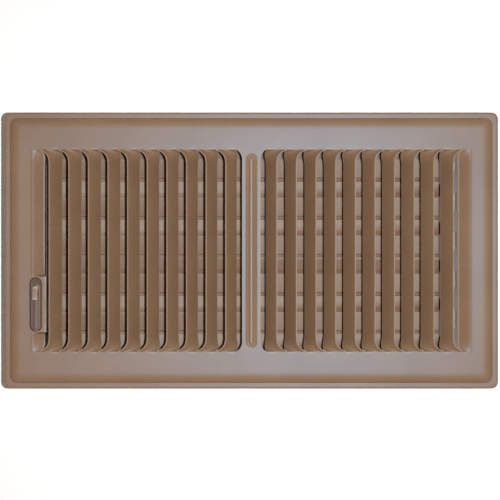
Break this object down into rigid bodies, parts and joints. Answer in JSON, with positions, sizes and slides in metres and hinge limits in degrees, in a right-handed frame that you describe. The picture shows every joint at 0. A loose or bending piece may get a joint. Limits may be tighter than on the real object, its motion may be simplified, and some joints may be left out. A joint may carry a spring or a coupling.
{
  "type": "floor register",
  "caption": "Louvred rectangular floor air register: pressed steel face with two banks of fins, a multi-blade damper in a drop-in box below, and a thumb lever that opens it.",
  "frame": {"origin": "centre of the damper box's lower rim, on which the loose register stands", "axes": "+Z out of the face, +X along the long side with the lever at -X, +Y across the face"},
  "size_m": [0.3462, 0.1938, 0.0497],
  "materials": {
    "face_enamel": "brown baked enamel, satin",
    "frame_enamel": "brown baked enamel, thin inside coat",
    "damper_enamel": "brown baked enamel, satin",
    "lever_enamel": "brown baked enamel, worn on the tab",
    "zinc_steel": "zinc plated",
    "rivet_steel": "bright steel rivets"
  },
  "bodies": {
    "register_frame": {"faceplate": "face_enamel", "side_rail_front": "frame_enamel", "side_rail_back": "frame_enamel", "end_plate_lever": "frame_enamel", "end_plate_plain": "frame_enamel", "stop_strip_front": "frame_enamel", "stop_strip_back": "frame_enamel", "lever_rivet": "rivet_steel", "spring_washer": "zinc_steel", "pivot_rivets_lever": "rivet_steel", "pivot_rivets_plain": "rivet_steel", "corner_rivets": "rivet_steel"},
    "link": {"link_bar": "zinc_steel", "link_rivets": "rivet_steel", "drive_pin": "rivet_steel"},
    "lever": {"thumb_lever": "lever_enamel"},
    "blade_1": {"damper_blade_1": "damper_enamel"},
    "blade_2": {"damper_blade_2": "damper_enamel"},
    "blade_3": {"damper_blade_3": "damper_enamel"},
    "blade_4": {"damper_blade_4": "damper_enamel"},
    "blade_5": {"damper_blade_5": "damper_enamel"}
  },
  "joints": [
    {"name": "damper_blade_3_turn", "type": "hinge", "parent": "register_frame", "child": "blade_3", "pos_m": [0, -0.0038, 0.0215], "axis": [1, 0, 0], "range_deg": [0, 90]},
    {"name": "damper_blade_1_turn", "type": "hinge", "parent": "register_frame", "child": "blade_1", "pos_m": [0, -0.0586, 0.0215], "axis": [1, 0, 0], "range_deg": [0, 90]},
    {"name": "damper_blade_2_turn", "type": "hinge", "parent": "register_frame", "child": "blade_2", "pos_m": [0, -0.0312, 0.0215], "axis": [1, 0, 0], "range_deg": [0, 90]},
    {"name": "damper_blade_4_turn", "type": "hinge", "parent": "register_frame", "child": "blade_4", "pos_m": [0, 0.0236, 0.0215], "axis": [1, 0, 0], "range_deg": [0, 90]},
    {"name": "damper_blade_5_turn", "type": "hinge", "parent": "register_frame", "child": "blade_5", "pos_m": [0, 0.051, 0.0215], "axis": [1, 0, 0], "range_deg": [0, 90]},
    {"name": "link_bar_turn", "type": "hinge", "parent": "blade_3", "child": "link", "pos_m": [-0.1441, 0.0015, 0.0268], "axis": [1, 0, 0], "range_deg": [-90, 0]},
    {"name": "thumb_lever_swing", "type": "hinge", "parent": "register_frame", "child": "lever", "pos_m": [-0.1494, -0.0399, 0.0058], "axis": [1, 0, 0], "range_deg": [0, 28.35]}
  ],
  "couplings": [
    {"joint": "damper_blade_1_turn", "follows": "damper_blade_3_turn", "ratio": 1},
    {"joint": "damper_blade_2_turn", "follows": "damper_blade_3_turn", "ratio": 1},
    {"joint": "damper_blade_4_turn", "follows": "damper_blade_3_turn", "ratio": 1},
    {"joint": "damper_blade_5_turn", "follows": "damper_blade_3_turn", "ratio": 1},
    {"joint": "link_bar_turn", "follows": "damper_blade_3_turn", "ratio": -1},
    {"joint": "thumb_lever_swing", "follows": "damper_blade_3_turn", "ratio": 0.31491}
  ]
}
